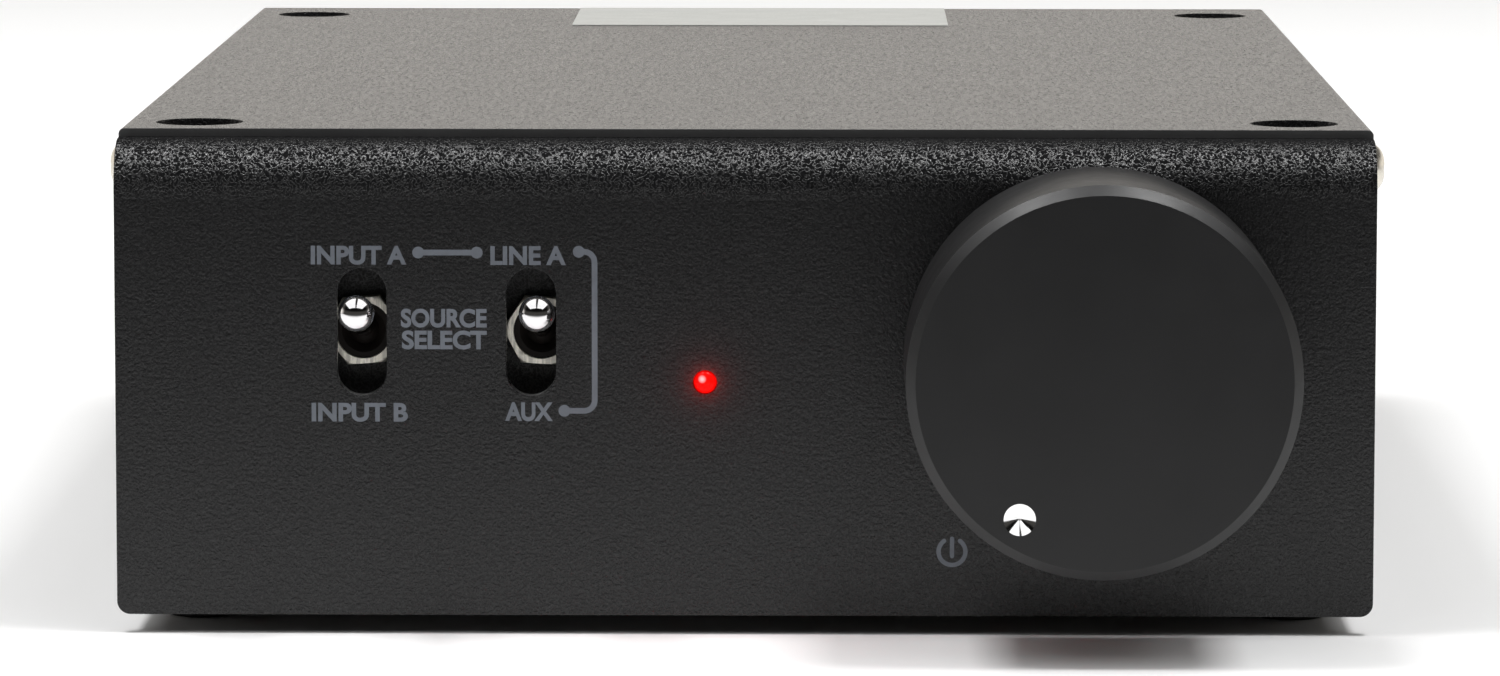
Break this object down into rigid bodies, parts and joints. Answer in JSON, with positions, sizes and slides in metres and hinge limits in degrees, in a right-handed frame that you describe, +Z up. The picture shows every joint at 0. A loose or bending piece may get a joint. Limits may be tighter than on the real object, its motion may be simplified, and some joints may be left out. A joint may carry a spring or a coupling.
{
  "type": "headphone amplifier",
  "caption": "Compact desktop headphone amplifier in a folded black steel case, with a large turning volume knob, ball-ended input toggle levers and rear sockets.",
  "frame": {"origin": "on the surface the feet stand on, under the middle of the whole object's bounding box", "axes": "+Z up; the front panel with the knob faces -Y; +X is to the right of a user who faces the knob"},
  "size_m": [0.1364, 0.231, 0.0529],
  "materials": {
    "textured_black_front": "fine-textured matt black powder coat",
    "textured_black_cover": "fine-textured matt black powder coat",
    "textured_black_case": "fine-textured matt black powder coat",
    "matt_black_steel": "dead matt black, inside the case",
    "black_anodised": "fine-turned, black anodised",
    "bright_chrome": "polished",
    "nickel": "nickel plated, turned",
    "zinc_steel": "zinc plated",
    "screw_steel": "nickel-plated screw steel",
    "black_screw": "black oxide",
    "gold": "gold plated",
    "tin_pins": "tinned",
    "black_plastic": "moulded, matt",
    "dark_bushing": "black, satin",
    "switch_plastic": "moulded, matt blue",
    "red_lens": "clear red, lit",
    "lamp_epoxy": "red epoxy",
    "rubber_black": "matt",
    "label_paper": "blank satin label",
    "board_laminate": "solder-masked laminate",
    "ribbon_grey": "vinyl",
    "white_plastic": "moulded white",
    "red_plastic": "moulded red",
    "orange_plastic": "moulded orange",
    "capacitor_sleeve": "dark sleeve",
    "film_red": "dipped box",
    "relay_plastic": "moulded",
    "chip_epoxy": "moulded epoxy",
    "heat_sink_black": "black anodised extrusion"
  },
  "bodies": {
    "case": {"board_headers": "black_plastic", "board_screws": "screw_steel", "bracket_screws": "black_screw", "chassis_tray": "textured_black_case", "clinch_nuts": "zinc_steel", "coax_barrel": "gold", "coax_insulator": "orange_plastic", "control_board": "board_laminate", "control_bracket": "matt_black_steel", "cover_label": "label_paper", "cover_screws": "screw_steel", "crystal_can": "nickel", "digital_socket": "nickel", "digital_tongue": "white_plastic", "film_capacitors": "film_red", "front_panel": "textured_black_front", "headphone_jack": "black_plastic", "heat_sink": "heat_sink_black", "hex_nut_left": "nickel", "hex_nut_right": "nickel", "inlet_pin": "nickel", "input_relays": "relay_plastic", "jack_contacts": "tin_pins", "jack_nut": "nickel", "jack_washer": "nickel", "light_pipe": "red_lens", "line_in_barrels": "gold", "line_in_insulator_left": "white_plastic", "line_in_insulator_right": "red_plastic", "lock_washers": "black_screw", "main_board": "board_laminate", "output_transistors": "chip_epoxy", "panel_studs": "zinc_steel", "pot_body": "black_plastic", "pot_bushing": "nickel", "pot_nut": "nickel", "pot_terminals": "tin_pins", "power_inlet": "black_plastic", "power_lamp": "lamp_epoxy", "power_switch": "black_plastic", "rear_panel": "textured_black_case", "rear_screws": "black_screw", "ribbon_cable": "ribbon_grey", "rubber_feet": "rubber_black", "signal_chips": "chip_epoxy", "smoothing_capacitors": "capacitor_sleeve", "socket_blocks": "black_plastic", "standoffs": "zinc_steel", "stud_nuts": "zinc_steel", "switch_body_left": "switch_plastic", "switch_body_right": "switch_plastic", "switch_bushing_left": "dark_bushing", "switch_bushing_right": "dark_bushing", "switch_terminals": "tin_pins", "top_cover": "textured_black_cover"},
    "volume_knob": {"volume_knob": "black_anodised", "knob_set_screw": "black_screw", "pot_shaft": "nickel"},
    "input_lever_left": {"toggle_lever_left": "bright_chrome"},
    "input_lever_right": {"toggle_lever_right": "bright_chrome"}
  },
  "joints": [
    {"name": "volume_turn", "type": "hinge", "parent": "case", "child": "volume_knob", "pos_m": [0.0368, -0.09165, 0.02939], "axis": [0, 1, 0], "range_deg": [0, 300]},
    {"name": "input_toggle_left", "type": "hinge", "parent": "case", "child": "input_lever_left", "pos_m": [-0.0401, -0.08645, 0.03175], "axis": [1, 0, 0], "range_deg": [0, 25]},
    {"name": "input_toggle_right", "type": "hinge", "parent": "case", "child": "input_lever_right", "pos_m": [-0.0214, -0.08645, 0.03175], "axis": [1, 0, 0], "range_deg": [0, 25]}
  ]
}
